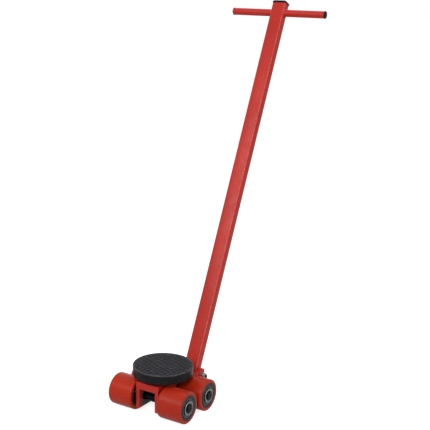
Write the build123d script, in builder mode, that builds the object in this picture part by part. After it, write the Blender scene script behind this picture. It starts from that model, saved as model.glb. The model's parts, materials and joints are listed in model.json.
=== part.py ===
"""Swivel-top machinery dolly: four load rollers, a turntable with a rubber pad and a hinged T-handle drawbar.

Millimetres. +Z is up, +X runs along the axles, +Y points back towards the drawbar hinge.
The origin is the centre of the load pad's top face, on the turntable's axis.
"""
from build123d import *

import os
from math import cos, radians, sin

# ---------------------------------------------------------------- driving dimensions
deck_height = 117.0            # floor to the load pad's top
fit_gap = 0.05                 # radial play of a running or push fit
stack_gap = 0.1                # axial play between faces that turn on each other

# rollers
roller_diameter = 82.0
roller_length = 70.0
roller_edge_radius = 4.0
roller_inner_end = 40.0        # from the centre plane to the roller's inboard end
wheelbase = 92.0
hub_diameter = 65.0
hub_bore = 28.0                # between the two bearings
hub_face_groove_diameter = 57.0
hub_face_groove_width = 1.4
hub_face_groove_depth = 0.8

# deep-groove bearings, 20 x 47 x 14
bearing_bore = 20.0
bearing_diameter = 47.0
bearing_width = 14.0
bearing_recess = 0.5           # bearing face below the hub face
outer_ring_wall = 3.5
inner_ring_wall = 3.3
shield_thickness = 0.8
shield_recess = 0.5
shield_gap = 0.3               # shield lip to inner ring

# axle hardware
axle_chamfer = 1.5
axle_end_projection = 2.0      # axle end beyond its circlip
axle_centre_hole = 5.0         # centre-drilled dimple
axle_centre_depth = 2.5
end_washer_diameter = 36.0
end_washer_thickness = 2.5
side_spacer_diameter = 28.0
centre_spacer_diameter = 25.0
axle_circlip_thickness = 1.2
axle_circlip_diameter = 25.6
axle_circlip_depth = 0.5       # groove depth in the axle

# frame
frame_width = 68.0
frame_length = 138.0
side_wall = 10.0
top_plate_thickness = 18.0
ground_clearance = 14.0
frame_top_gap = 7.5            # frame top to the underside of the turntable
frame_edge_chamfer = 1.0
ear_corner_radius = 2.0
ear_root_radius = 12.0
ear_above = 16.0               # ear beyond the hinge axis
ear_below = 14.0
ear_behind = 13.0

# turntable
plate_diameter = 155.0
plate_thickness = 24.0
plate_edge_radius = 2.5
rim_width = 4.0
rim_lip_radius = 1.2
pad_recess = 5.0
pad_proud = 1.0
pad_side_gap = 0.25
pad_block = 10.0               # square rubber blocks
pad_groove = 2.5
pad_groove_depth = 1.5
pad_turn = 67.5                # degrees, block rows against the frame

# kingpin and its cylindrical-roller thrust bearing, 30 x 47 x 11
kingpin_diameter = 30.0
kingpin_head_diameter = 48.0
kingpin_head_thickness = 8.0
kingpin_tail = 3.5             # pin end below its circlip
bush_wall = 3.0
race_diameter = 47.0
race_thickness = 3.0
lower_race_bore = 32.0
thrust_roller_diameter = 4.8
thrust_roller_length = 5.4
thrust_roller_count = 16
thrust_gap = 0.1               # each roller to each race
cage_wall = 0.6                # beyond the roller pockets, inboard and outboard
cage_thickness = 3.0
pocket_gap = 0.1
retaining_washer_diameter = 44.0
retaining_washer_thickness = 3.0
kingpin_circlip_thickness = 1.5
kingpin_circlip_diameter = 36.5
kingpin_circlip_depth = 0.7

# circlip proportions, against the shaft or the lug
lug_radius_ratio = 0.085
lug_hole_ratio = 0.45
lug_sink_ratio = 0.4           # how far the lug's centre stands out of the ring
lug_turn = 17                  # degrees each side of the gap

# drawbar hinge
hinge_back = 132.0             # hinge axis behind the turntable axis
hinge_height = 46.0            # hinge axis above the floor
bolt_diameter = 10.0
bolt_end_chamfer = 1.0
bolt_head_flats = 17.0
bolt_head_thickness = 6.4
bolt_washer_diameter = 20.0
bolt_washer_thickness = 2.0
nut_thickness = 7.0
nut_collar_diameter = 15.0
nut_collar_height = 4.0
nut_collar_wall = 1.2
nut_insert_recess = 0.5
bolt_end_projection = 2.0
sleeve_diameter = 19.0
friction_washer_diameter = 26.0
friction_washer_thickness = 1.5

# drawbar
drawbar_lean = 24.0            # degrees back from upright, at rest
tube_width = 40.0
tube_depth = 25.0
tube_wall = 1.2
tube_corner_radius = 3.0
tube_below_hinge = 20.0
tube_above_hinge = 1057.0
crossbar_below_end = 27.0      # crossbar axis below the tube's upper end
crossbar_diameter = 20.0
crossbar_wall = 1.2
crossbar_length = 288.0
cap_flange_thickness = 2.0
cap_edge_radius = 1.2
cap_overhang = 0.6
cap_plug_depth = 12.0
cap_plug_gap = 0.15
tube_cap_flange = 3.0
tube_cap_dome = 5.0
tube_cap_overhang = 1.2
tube_cap_plug = 15.0
crown_width_ratio = 0.6        # flat top of the cap's dome, against its flange
crown_depth_ratio = 0.45
dome_steps = 4                 # bands that the dome is lofted in

# ---------------------------------------------------------------- places worked out from them
floor_z = -deck_height
axle_z = floor_z + roller_diameter / 2
roller_radius = roller_diameter / 2
hub_radius = hub_diameter / 2
roller_centre_x = roller_inner_end + roller_length / 2
bearing_radius = bearing_diameter / 2
bearing_offset = roller_length / 2 - bearing_recess - bearing_width / 2
inner_ring_radius = bearing_bore / 2 + inner_ring_wall
bearing_outer_x = roller_inner_end + roller_length - bearing_recess
circlip_inner_x = bearing_outer_x + end_washer_thickness
axle_end_x = circlip_inner_x + axle_circlip_thickness + axle_end_projection
frame_half = frame_width / 2
plate_top_z = -pad_proud
plate_bottom_z = plate_top_z - plate_thickness
frame_top_z = plate_bottom_z - frame_top_gap
side_top_z = frame_top_z - top_plate_thickness
frame_bottom_z = floor_z + ground_clearance
pad_floor_z = plate_top_z - pad_recess
lower_race_z = plate_bottom_z - 2 * race_thickness - thrust_roller_diameter - 2 * thrust_gap
bush_radius = kingpin_diameter / 2 + bush_wall
retaining_washer_z = side_top_z - stack_gap - retaining_washer_thickness
kingpin_groove_z = retaining_washer_z - kingpin_circlip_thickness
kingpin_end_z = kingpin_groove_z - kingpin_tail
thrust_roller_radius = (lower_race_bore + race_diameter) / 4
hinge_z = floor_z + hinge_height
ear_gap_half = frame_half - side_wall
sleeve_half = ear_gap_half - friction_washer_thickness - stack_gap
nut_x = frame_half + bolt_washer_thickness
bolt_end_x = nut_x + nut_thickness + nut_collar_height + bolt_end_projection
crossbar_above_hinge = tube_above_hinge - crossbar_below_end

os.makedirs("parts", exist_ok=True)


def save(node, name):
    """Label a finished sub-part and write its STEP file."""
    node.part.label = name
    export_step(node.part, f"parts/{name}.step")


def axle_plane(x, y):
    """Sketch plane through an axle at station x: local x runs along the axle, local y is the radius."""
    return Plane(origin=(x, y, axle_z), x_dir=(1, 0, 0), z_dir=(0, -1, 0))


def axle_line(y):
    """The centre line of the axle at y."""
    return Axis((0, y, axle_z), (1, 0, 0))


def ring_profile(width, inner_radius, outer_radius):
    """Half section of a plain ring, centred on the sketch's origin."""
    with Locations((0, inner_radius)):
        Rectangle(width, outer_radius - inner_radius, align=(Align.CENTER, Align.MIN))


def circlip_outline(shaft_diameter, groove_depth, outer_diameter):
    """External circlip: a ring with a gap at the bottom and a drilled lug each side of it."""
    inner_radius = shaft_diameter / 2 - groove_depth
    lug_radius = lug_radius_ratio * shaft_diameter
    lug_reach = (inner_radius + outer_diameter / 2) / 2 + lug_sink_ratio * lug_radius
    lugs = PolarLocations(lug_reach, 2, start_angle=-90 - lug_turn, angular_range=4 * lug_turn)
    Circle(outer_diameter / 2)
    with lugs:
        Circle(lug_radius)
    Circle(inner_radius, mode=Mode.SUBTRACT)
    with lugs:
        Circle(lug_hole_ratio * lug_radius, mode=Mode.SUBTRACT)
    with Locations((0, -lug_reach)):
        Rectangle(lug_radius, 4 * lug_radius, mode=Mode.SUBTRACT)


axle_rows = {"front": -wheelbase / 2, "rear": wheelbase / 2}
sides = {"left": -1, "right": 1}

# ---------------------------------------------------------------- frame: top plate and two side plates
with BuildPart() as top_plate:
    with BuildSketch(Plane.XY.offset(side_top_z)):
        Rectangle(frame_width, frame_length)
    extrude(amount=top_plate_thickness)
    chamfer(top_plate.edges().group_by(Axis.Z)[-1], frame_edge_chamfer)
    with BuildSketch(Plane.XY.offset(side_top_z)):
        Circle(bush_radius + fit_gap)
    extrude(amount=top_plate_thickness, mode=Mode.SUBTRACT)
    with BuildSketch(Plane.XY.offset(lower_race_z)):
        Circle(race_diameter / 2 + fit_gap)
    extrude(amount=top_plate_thickness, mode=Mode.SUBTRACT)
save(top_plate, "top_plate")

for side_name, side in sides.items():
    plate_x = side * (frame_half - side_wall / 2)
    with BuildPart() as side_plate:
        with BuildSketch(Plane.YZ.offset(plate_x)) as side_outline:
            with BuildLine():
                Polyline(
                    (-frame_length / 2, frame_bottom_z),
                    (frame_length / 2, frame_bottom_z),
                    (frame_length / 2, hinge_z - ear_below),
                    (hinge_back + ear_behind, hinge_z - ear_below),
                    (hinge_back + ear_behind, hinge_z + ear_above),
                    (frame_length / 2, hinge_z + ear_above),
                    (frame_length / 2, side_top_z),
                    (-frame_length / 2, side_top_z),
                    close=True,
                )
            make_face()
            rear_corners = side_outline.vertices().group_by(Axis.X)[-2].sort_by(Axis.Y)
            fillet(rear_corners[1], ear_root_radius)
            fillet(side_outline.vertices().sort_by(Axis.X)[-2:], ear_corner_radius)
            with Locations((-wheelbase / 2, axle_z), (wheelbase / 2, axle_z)):
                Circle(bearing_bore / 2 + fit_gap, mode=Mode.SUBTRACT)
            with Locations((hinge_back, hinge_z)):
                Circle(bolt_diameter / 2 + fit_gap, mode=Mode.SUBTRACT)
        extrude(amount=side_wall / 2, both=True)
    save(side_plate, f"side_plate_{side_name}")

# ---------------------------------------------------------------- axles and what is stacked on them
for row_name, row_y in axle_rows.items():
    with BuildPart() as axle:
        with BuildSketch(Plane.YZ.offset(-axle_end_x)):
            with Locations((row_y, axle_z)):
                Circle(bearing_bore / 2)
        extrude(amount=2 * axle_end_x)
        chamfer(axle.edges().filter_by(GeomType.CIRCLE), axle_chamfer)
        for side in sides.values():
            with BuildSketch(axle_plane(side * (circlip_inner_x + axle_circlip_thickness / 2), row_y)):
                ring_profile(axle_circlip_thickness, bearing_bore / 2 - axle_circlip_depth, bearing_bore)
            revolve(axis=axle_line(row_y), mode=Mode.SUBTRACT)
            with BuildSketch(axle_plane(side * axle_end_x, row_y)):
                with BuildLine():
                    Polyline((0, 0), (0, axle_centre_hole / 2), (-side * axle_centre_depth, 0), close=True)
                make_face()
            revolve(axis=axle_line(row_y), mode=Mode.SUBTRACT)
    save(axle, f"axle_{row_name}")

    with BuildPart() as spacers:
        side_spacer_length = roller_inner_end + bearing_recess - frame_half
        side_spacer_x = frame_half + side_spacer_length / 2
        centre_spacer_length = 2 * bearing_offset - bearing_width
        for side in sides.values():
            with BuildSketch(axle_plane(side * side_spacer_x, row_y)):
                ring_profile(side_spacer_length, bearing_bore / 2 + fit_gap, side_spacer_diameter / 2)
            revolve(axis=axle_line(row_y))
            with BuildSketch(axle_plane(side * roller_centre_x, row_y)):
                ring_profile(centre_spacer_length, bearing_bore / 2 + fit_gap, centre_spacer_diameter / 2)
            revolve(axis=axle_line(row_y))
    save(spacers, f"axle_spacers_{row_name}")

    with BuildPart() as inner_rings:
        for side in sides.values():
            for end in (-1, 1):
                with BuildSketch(axle_plane(side * roller_centre_x + end * bearing_offset, row_y)):
                    ring_profile(bearing_width, bearing_bore / 2 + fit_gap, inner_ring_radius)
                revolve(axis=axle_line(row_y))
    save(inner_rings, f"bearing_inner_rings_{row_name}")

    with BuildPart() as end_washers:
        for side in sides.values():
            with BuildSketch(axle_plane(side * (bearing_outer_x + end_washer_thickness / 2), row_y)):
                ring_profile(end_washer_thickness, bearing_bore / 2 + fit_gap, end_washer_diameter / 2)
            revolve(axis=axle_line(row_y))
    save(end_washers, f"axle_washers_{row_name}")

    with BuildPart() as axle_circlips:
        for side in sides.values():
            circlip_origin = (side * circlip_inner_x, row_y, axle_z)
            with BuildSketch(Plane(origin=circlip_origin, x_dir=(0, 1, 0), z_dir=(side, 0, 0))):
                circlip_outline(bearing_bore, axle_circlip_depth, axle_circlip_diameter)
            extrude(amount=axle_circlip_thickness)
    save(axle_circlips, f"axle_circlips_{row_name}")

# ---------------------------------------------------------------- four load rollers
for row_name, row_y in axle_rows.items():
    for side_name, side in sides.items():
        corner = f"{row_name}_{side_name}"
        roller_x = side * roller_centre_x

        with BuildPart() as tread:
            with BuildSketch(axle_plane(roller_x, row_y)) as tread_section:
                ring_profile(roller_length, hub_radius, roller_radius)
                fillet(tread_section.vertices().group_by(Axis.Y)[-1], roller_edge_radius)
            revolve(axis=axle_line(row_y))
        save(tread, f"roller_tread_{corner}")

        with BuildPart() as hub:
            with BuildSketch(axle_plane(roller_x, row_y)):
                ring_profile(roller_length, hub_bore / 2, hub_radius)
                seat_depth = bearing_width + bearing_recess
                with Locations(
                    (-roller_length / 2 + seat_depth / 2, 0),
                    (roller_length / 2 - seat_depth / 2, 0),
                ):
                    Rectangle(seat_depth, bearing_diameter + 2 * fit_gap, mode=Mode.SUBTRACT)
                with Locations(
                    (-roller_length / 2, hub_face_groove_diameter / 2),
                    (roller_length / 2, hub_face_groove_diameter / 2),
                ):
                    Rectangle(2 * hub_face_groove_depth, hub_face_groove_width, mode=Mode.SUBTRACT)
            revolve(axis=axle_line(row_y))
        save(hub, f"roller_hub_{corner}")

        with BuildPart() as bearings:
            for end in (-1, 1):
                with BuildSketch(axle_plane(roller_x + end * bearing_offset, row_y)):
                    ring_profile(bearing_width, bearing_radius - outer_ring_wall, bearing_radius)
                    shield_x = bearing_width / 2 - shield_recess - shield_thickness / 2
                    with Locations(
                        (-shield_x, inner_ring_radius + shield_gap),
                        (shield_x, inner_ring_radius + shield_gap),
                    ):
                        Rectangle(
                            shield_thickness,
                            bearing_radius - outer_ring_wall / 2 - inner_ring_radius - shield_gap,
                            align=(Align.CENTER, Align.MIN),
                        )
                revolve(axis=axle_line(row_y))
        save(bearings, f"roller_bearings_{corner}")

# ---------------------------------------------------------------- turntable
with BuildPart() as turntable_plate:
    with BuildSketch(Plane.XY.offset(plate_bottom_z)):
        Circle(plate_diameter / 2)
    extrude(amount=plate_thickness)
    fillet(turntable_plate.edges().filter_by(GeomType.CIRCLE), plate_edge_radius)
    with BuildSketch(Plane.XY.offset(pad_floor_z)):
        Circle(plate_diameter / 2 - rim_width)
    extrude(amount=pad_recess, mode=Mode.SUBTRACT)
    fillet(turntable_plate.edges().group_by(Axis.Z)[-1].sort_by(SortBy.RADIUS)[0], rim_lip_radius)
    with BuildSketch(Plane.XY.offset(pad_floor_z - kingpin_head_thickness)):
        Circle(kingpin_head_diameter / 2 + fit_gap)
    extrude(amount=kingpin_head_thickness, mode=Mode.SUBTRACT)
    with BuildSketch(Plane.XY.offset(plate_bottom_z)):
        Circle(kingpin_diameter / 2 + fit_gap)
    extrude(amount=plate_thickness, mode=Mode.SUBTRACT)
save(turntable_plate, "turntable_plate")

with BuildPart() as load_pad:
    pad_radius = plate_diameter / 2 - rim_width - pad_side_gap
    pad_pitch = pad_block + pad_groove
    groove_count = int(pad_radius // pad_pitch) + 1
    with BuildSketch(Plane.XY.offset(pad_floor_z)):
        Circle(pad_radius)
    extrude(amount=pad_recess + pad_proud)
    with BuildSketch(Plane.XY.offset(-pad_groove_depth)):
        for direction in (pad_turn, pad_turn + 90):
            with Locations(Location((0, 0), direction)):
                for step in range(groove_count):
                    with Locations((0, (step + 0.5) * pad_pitch), (0, -(step + 0.5) * pad_pitch)):
                        Rectangle(2 * plate_diameter, pad_groove)
    extrude(amount=pad_groove_depth, mode=Mode.SUBTRACT)
save(load_pad, "load_pad")

with BuildPart() as kingpin:
    with BuildSketch(Plane.XY.offset(kingpin_end_z)):
        Circle(kingpin_diameter / 2)
    extrude(amount=pad_floor_z - kingpin_end_z)
    chamfer(kingpin.edges().group_by(Axis.Z)[0], axle_chamfer)
    with BuildSketch(Plane.XY.offset(pad_floor_z - kingpin_head_thickness)):
        Circle(kingpin_head_diameter / 2)
    extrude(amount=kingpin_head_thickness)
    with BuildSketch(Plane.XY.offset(kingpin_groove_z)):
        Circle(kingpin_diameter / 2)
        Circle(kingpin_diameter / 2 - kingpin_circlip_depth, mode=Mode.SUBTRACT)
    extrude(amount=kingpin_circlip_thickness, mode=Mode.SUBTRACT)
save(kingpin, "kingpin")

with BuildPart() as pivot_bush:
    with BuildSketch(Plane.XY.offset(side_top_z)):
        Circle(bush_radius)
        Circle(kingpin_diameter / 2 + fit_gap, mode=Mode.SUBTRACT)
    extrude(amount=lower_race_z - side_top_z)
save(pivot_bush, "pivot_bush")

with BuildPart() as lower_race:
    with BuildSketch(Plane.XY.offset(lower_race_z)):
        Circle(race_diameter / 2)
        Circle(lower_race_bore / 2, mode=Mode.SUBTRACT)
    extrude(amount=race_thickness)
save(lower_race, "thrust_race_lower")

with BuildPart() as upper_race:
    with BuildSketch(Plane.XY.offset(plate_bottom_z - race_thickness)):
        Circle(race_diameter / 2)
        Circle(kingpin_diameter / 2 + fit_gap, mode=Mode.SUBTRACT)
    extrude(amount=race_thickness)
save(upper_race, "thrust_race_upper")

thrust_mid_z = lower_race_z + race_thickness + thrust_gap + thrust_roller_diameter / 2
with BuildPart() as thrust_cage:
    pocket_length = thrust_roller_length + 2 * pocket_gap
    with BuildSketch(Plane.XY.offset(thrust_mid_z - cage_thickness / 2)):
        Circle(thrust_roller_radius + pocket_length / 2 + cage_wall)
        Circle(thrust_roller_radius - pocket_length / 2 - cage_wall, mode=Mode.SUBTRACT)
        with PolarLocations(thrust_roller_radius, thrust_roller_count):
            Rectangle(pocket_length, thrust_roller_diameter + 2 * pocket_gap, mode=Mode.SUBTRACT)
    extrude(amount=cage_thickness)
save(thrust_cage, "thrust_cage")

with BuildPart() as thrust_rollers:
    with Locations((0, 0, thrust_mid_z)):
        with PolarLocations(thrust_roller_radius, thrust_roller_count):
            Cylinder(thrust_roller_diameter / 2, thrust_roller_length, rotation=(0, 90, 0))
save(thrust_rollers, "thrust_rollers")

with BuildPart() as retaining_washer:
    with BuildSketch(Plane.XY.offset(retaining_washer_z)):
        Circle(retaining_washer_diameter / 2)
        Circle(kingpin_diameter / 2 + fit_gap, mode=Mode.SUBTRACT)
    extrude(amount=retaining_washer_thickness)
save(retaining_washer, "kingpin_washer")

with BuildPart() as kingpin_circlip:
    with BuildSketch(Plane.XY.offset(kingpin_groove_z)):
        circlip_outline(kingpin_diameter, kingpin_circlip_depth, kingpin_circlip_diameter)
    extrude(amount=kingpin_circlip_thickness)
save(kingpin_circlip, "kingpin_circlip")

# ---------------------------------------------------------------- drawbar hinge hardware on the frame
hinge_line = Axis((0, hinge_back, hinge_z), (1, 0, 0))


def hinge_plane(x):
    """Sketch plane across the hinge axis at station x, centred on the axis."""
    return Plane(origin=(x, hinge_back, hinge_z), x_dir=(0, 1, 0), z_dir=(1, 0, 0))


with BuildPart() as hinge_bolt:
    with BuildSketch(hinge_plane(-nut_x - bolt_head_thickness)):
        RegularPolygon(bolt_head_flats / 2, 6, major_radius=False)
    extrude(amount=bolt_head_thickness)
    with BuildSketch(hinge_plane(-nut_x)):
        Circle(bolt_diameter / 2)
    extrude(amount=nut_x + bolt_end_x)
    chamfer(hinge_bolt.edges().group_by(Axis.X)[-1], bolt_end_chamfer)
save(hinge_bolt, "hinge_bolt")

with BuildPart() as bolt_washers:
    for station in (-nut_x, frame_half):
        with BuildSketch(hinge_plane(station)):
            Circle(bolt_washer_diameter / 2)
            Circle(bolt_diameter / 2 + fit_gap, mode=Mode.SUBTRACT)
        extrude(amount=bolt_washer_thickness)
save(bolt_washers, "hinge_bolt_washers")

with BuildPart() as hinge_nut:
    insert_radius = nut_collar_diameter / 2 - nut_collar_wall
    with BuildSketch(hinge_plane(nut_x)):
        RegularPolygon(bolt_head_flats / 2, 6, major_radius=False)
    extrude(amount=nut_thickness)
    with BuildSketch(hinge_plane(nut_x + nut_thickness)):
        Circle(nut_collar_diameter / 2)
        Circle(insert_radius, mode=Mode.SUBTRACT)
    extrude(amount=nut_collar_height)
    with BuildSketch(hinge_plane(nut_x)):
        Circle(bolt_diameter / 2 + fit_gap)
    extrude(amount=nut_thickness, mode=Mode.SUBTRACT)
save(hinge_nut, "hinge_nut")

with BuildPart() as nut_insert:
    with BuildSketch(hinge_plane(nut_x + nut_thickness)):
        Circle(insert_radius - fit_gap)
        Circle(bolt_diameter / 2 + fit_gap, mode=Mode.SUBTRACT)
    extrude(amount=nut_collar_height - nut_insert_recess)
save(nut_insert, "hinge_nut_insert")

# ---------------------------------------------------------------- drawbar
lean = radians(drawbar_lean)
drawbar_up = (0, sin(lean), cos(lean))


def drawbar_plane(height):
    """Plane across the drawbar, height above the hinge axis: local x is +X, local y is the tube's back."""
    centre = (0, hinge_back + height * sin(lean), hinge_z + height * cos(lean))
    return Plane(origin=centre, x_dir=(1, 0, 0), z_dir=drawbar_up)


with BuildPart() as drawbar_tube:
    with BuildSketch(drawbar_plane(-tube_below_hinge)):
        RectangleRounded(tube_width, tube_depth, tube_corner_radius)
        RectangleRounded(
            tube_width - 2 * tube_wall,
            tube_depth - 2 * tube_wall,
            tube_corner_radius - tube_wall,
            mode=Mode.SUBTRACT,
        )
    extrude(amount=tube_below_hinge + tube_above_hinge)
    with BuildSketch(hinge_plane(-tube_width)):
        Circle(sleeve_diameter / 2 + fit_gap)
    extrude(amount=2 * tube_width, mode=Mode.SUBTRACT)
    crossbar_centre = drawbar_plane(crossbar_above_hinge).origin
    with BuildSketch(Plane.YZ.offset(-tube_width)):
        with Locations((crossbar_centre.Y, crossbar_centre.Z)):
            Circle(crossbar_diameter / 2 + fit_gap)
    extrude(amount=2 * tube_width, mode=Mode.SUBTRACT)
save(drawbar_tube, "drawbar_tube")

with BuildPart() as hinge_sleeve:
    with BuildSketch(hinge_plane(-sleeve_half)):
        Circle(sleeve_diameter / 2)
        Circle(bolt_diameter / 2 + fit_gap, mode=Mode.SUBTRACT)
    extrude(amount=2 * sleeve_half)
save(hinge_sleeve, "hinge_sleeve")

with BuildPart() as friction_washers:
    for station in (-sleeve_half - friction_washer_thickness, sleeve_half):
        with BuildSketch(hinge_plane(station)):
            Circle(friction_washer_diameter / 2)
            Circle(bolt_diameter / 2 + fit_gap, mode=Mode.SUBTRACT)
        extrude(amount=friction_washer_thickness)
save(friction_washers, "hinge_friction_washers")

with BuildPart() as crossbar:
    with BuildSketch(Plane.YZ.offset(-crossbar_length / 2)):
        with Locations((crossbar_centre.Y, crossbar_centre.Z)):
            Circle(crossbar_diameter / 2)
            Circle(crossbar_diameter / 2 - crossbar_wall, mode=Mode.SUBTRACT)
    extrude(amount=crossbar_length)
save(crossbar, "crossbar")

for side_name, side in sides.items():
    end_plane = Plane(
        origin=(side * crossbar_length / 2, crossbar_centre.Y, crossbar_centre.Z),
        x_dir=(0, 1, 0),
        z_dir=(side, 0, 0),
    )
    with BuildPart() as bar_cap:
        with BuildSketch(end_plane):
            Circle(crossbar_diameter / 2 + cap_overhang)
        extrude(amount=cap_flange_thickness)
        fillet(bar_cap.faces().sort_by(Axis.X)[-1 if side > 0 else 0].edges(), cap_edge_radius)
        with BuildSketch(end_plane):
            Circle(crossbar_diameter / 2 - crossbar_wall - cap_plug_gap)
        extrude(amount=-cap_plug_depth)
    save(bar_cap, f"crossbar_cap_{side_name}")

with BuildPart() as tube_cap:
    flange_width = tube_width + 2 * tube_cap_overhang
    flange_depth = tube_depth + 2 * tube_cap_overhang
    with BuildSketch(drawbar_plane(tube_above_hinge)):
        RectangleRounded(flange_width, flange_depth, tube_corner_radius + tube_cap_overhang)
    extrude(amount=tube_cap_flange)
    for step in range(dome_steps + 1):
        rise = sin(radians(90 * step / dome_steps))
        fall = 1 - cos(radians(90 * step / dome_steps))
        with BuildSketch(drawbar_plane(tube_above_hinge + tube_cap_flange + tube_cap_dome * rise)):
            RectangleRounded(
                flange_width * (1 - (1 - crown_width_ratio) * fall),
                flange_depth * (1 - (1 - crown_depth_ratio) * fall),
                tube_corner_radius + tube_cap_overhang * (1 - fall),
            )
    loft(ruled=True)
    with BuildSketch(drawbar_plane(tube_above_hinge)):
        RectangleRounded(
            tube_width - 2 * (tube_wall + cap_plug_gap),
            tube_depth - 2 * (tube_wall + cap_plug_gap),
            tube_corner_radius - tube_wall,
        )
    extrude(amount=-tube_cap_plug)
save(tube_cap, "tube_cap")
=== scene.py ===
"""Looks of a swivel-top machinery dolly with a T-handle drawbar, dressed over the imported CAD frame.

Metres, in the CAD model's own frame: +Z is up, +X runs along the axles, +Y points back to the hinge.
"""

import json
import math

import bmesh
import bpy
from mathutils import Matrix, Vector


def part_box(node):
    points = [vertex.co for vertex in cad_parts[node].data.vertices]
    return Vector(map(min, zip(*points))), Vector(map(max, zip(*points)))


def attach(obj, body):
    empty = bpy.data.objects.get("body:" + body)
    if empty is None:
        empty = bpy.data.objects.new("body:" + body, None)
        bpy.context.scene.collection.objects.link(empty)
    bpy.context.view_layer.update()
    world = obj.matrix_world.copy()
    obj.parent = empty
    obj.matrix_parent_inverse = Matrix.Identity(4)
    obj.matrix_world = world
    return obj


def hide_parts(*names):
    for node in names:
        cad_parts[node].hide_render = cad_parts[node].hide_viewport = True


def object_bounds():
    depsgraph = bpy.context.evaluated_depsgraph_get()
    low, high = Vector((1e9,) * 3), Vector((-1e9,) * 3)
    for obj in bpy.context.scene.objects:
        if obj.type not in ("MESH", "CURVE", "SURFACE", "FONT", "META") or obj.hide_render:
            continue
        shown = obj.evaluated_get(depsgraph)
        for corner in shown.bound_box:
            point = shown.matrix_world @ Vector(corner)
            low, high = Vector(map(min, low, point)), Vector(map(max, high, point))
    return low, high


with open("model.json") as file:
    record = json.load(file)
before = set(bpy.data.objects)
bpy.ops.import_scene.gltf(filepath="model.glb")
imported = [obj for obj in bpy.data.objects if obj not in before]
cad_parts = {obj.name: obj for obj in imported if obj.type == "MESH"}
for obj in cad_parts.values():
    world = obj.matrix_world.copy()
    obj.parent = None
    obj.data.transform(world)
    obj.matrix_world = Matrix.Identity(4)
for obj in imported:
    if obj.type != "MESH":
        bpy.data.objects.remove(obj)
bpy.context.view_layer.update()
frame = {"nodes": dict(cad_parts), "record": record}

MM = 0.001
AXLE_ROWS = ("front", "rear")
SIDES = {"left": -1, "right": 1}
BODY_OF = {node: body for body, nodes in frame["record"]["behaviour"]["bodies"].items() for node in nodes}
SLOT_OF = {part["node"]: part["material_slot"] for part in frame["record"]["subparts"]}
FULL_TURN = 2 * math.pi

# camera
CAMERA_AIM = Vector((0.0, 0.2353, 0.3455))
CAMERA_AZIMUTH = math.radians(31.743)
CAMERA_ELEVATION = math.radians(13.761)
CAMERA_ROLL = math.radians(1.35)
CAMERA_DISTANCE = 2.5293
CAMERA_LENS = 79.153
SENSOR_WIDTH = 36.0

# paint
RED = (0.49, 0.020, 0.010)
RED_ROUGHNESS = 0.28
RED_SPECULAR = 0.24
RUBBED_RED_ROUGHNESS = 0.32
# painted shade: a dark grey laid on the faces inside the frame, where they are in shade
INSIDE_PAINTED_SHADE = (0.075, 0.068, 0.068)
LIP_WEAR_AND_HIGHLIGHT_WIDTH = 6 * MM
INSIDE_SHADE_END = 16 * MM
INSIDE_SHADE_RAGGED = 3 * MM
INSIDE_SHADE_EDGE = 0.2 * MM

# mix node sockets for colours
MIX_UNDER, MIX_OVER, MIX_RESULT = 6, 7, 2

# edges
EDGE_FADE = 0.8 * MM
EDGE_ROUND = 0.3 * MM
RING_ROUND = 0.4 * MM
ROUND_SHARE = 0.48
FADE_SHARE = 0.45
PLATE_BEVEL = 0.8 * MM
CLIP_BEVEL = 0.2 * MM
SHARP_ANGLE = 35
HEX_SHARP_ANGLE = 25

# rollers, hubs and bearings
ROLLER_STEPS = 128
TREAD_ROUND = 4.0 * MM
HUB_BORE = 14.0 * MM
HUB_LEAD = 0.8 * MM
HUB_GROOVE_RADIUS = 28.5 * MM
HUB_GROOVE_WIDTH = 1.4 * MM
HUB_GROOVE_DEPTH = 0.8 * MM
BEARING_WIDTH = 14.0 * MM
OUTER_RING_WALL = 3.5 * MM
OUTER_RING_ROUND = 0.9 * MM
OUTER_RING_LEAD = 0.4 * MM
INNER_RING_ROUND = 0.6 * MM
SHIELD_INNER_RADIUS = 13.6 * MM
SHIELD_RECESS = 0.5 * MM
SHIELD_THICKNESS = 0.8 * MM
SHIELD_CURL = 1.2 * MM
AXLE_RADIUS = 10.0 * MM
AXLE_CHAMFER = 1.5 * MM
AXLE_GROOVE_DEPTH = 0.5 * MM
AXLE_WASHER_ROUND = 0.5 * MM
CENTRE_SPACER_STEP = 1.5 * MM
CENTRE_HOLE_RADIUS = 2.5 * MM
CENTRE_HOLE_DEPTH = 2.5 * MM

# turntable
PLATE_STEPS = 160
PLATE_ROUND = 2.5 * MM
PLATE_UNDER_ROUND = 1.2 * MM
RIM_WIDTH = 4.0 * MM
LIP_ROUND = 1.2 * MM
PAD_RECESS = 5.0 * MM
KINGPIN_RADIUS = 15.0 * MM
KINGPIN_HEAD_RADIUS = 24.0 * MM
KINGPIN_HEAD = 8.0 * MM
KINGPIN_GROOVE_DEPTH = 0.7 * MM
RACE_BORE = 16.0 * MM
RUNNING_GAP = 0.05 * MM

# load pad
PAD_EDGE = 0.3 * MM
PAD_BLOCK = 10.0 * MM
PAD_GROOVE = 2.5 * MM
PAD_GROOVE_DEPTH = 1.5 * MM
PAD_TURN = math.radians(67.5)
SMALLEST_BLOCK = 1.5 * MM
BLOCK_CORNER = 0.9 * MM
BLOCK_EDGE = 0.5 * MM
BLOCK_CUTS = 8

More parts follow.
